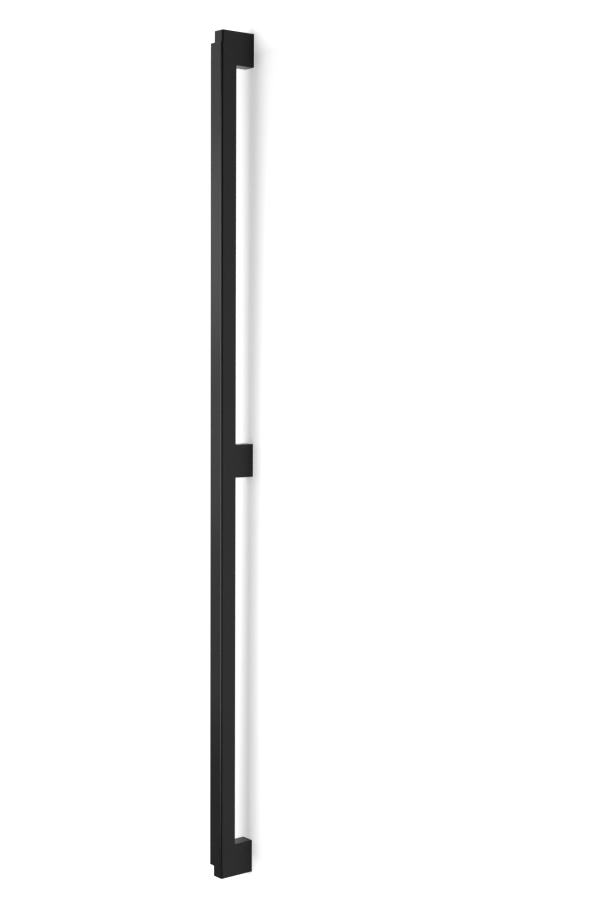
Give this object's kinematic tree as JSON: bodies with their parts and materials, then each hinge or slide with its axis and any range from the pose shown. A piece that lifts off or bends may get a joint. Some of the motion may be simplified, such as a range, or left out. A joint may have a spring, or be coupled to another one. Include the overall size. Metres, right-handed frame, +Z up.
{
  "type": "ladder pull handle",
  "caption": "Long straight door pull: a flat round-edged grip strip on a rectangular spine bar, held off the door by block posts with tapped fixing holes in the back.",
  "frame": {"origin": "centre of the middle post's door face", "axes": "+Z up the handle's length, +Y into the door, -Y towards the person who pulls, +X to their right"},
  "size_m": [0.029, 0.059, 1.2],
  "materials": {
    "grip_coat": "fine satin black powder coat on aluminium",
    "frame_coat": "fine satin black powder coat on aluminium",
    "screw_steel": "black oxide steel",
    "cut_thread": "bare aluminium, cut after coating"
  },
  "bodies": {
    "root": {"grip_bar": "grip_coat", "spine_bar": "frame_coat", "upper_post": "frame_coat", "middle_post": "frame_coat", "lower_post": "frame_coat", "post_screws": "screw_steel", "grip_screws": "screw_steel"}
  },
  "joints": []
}
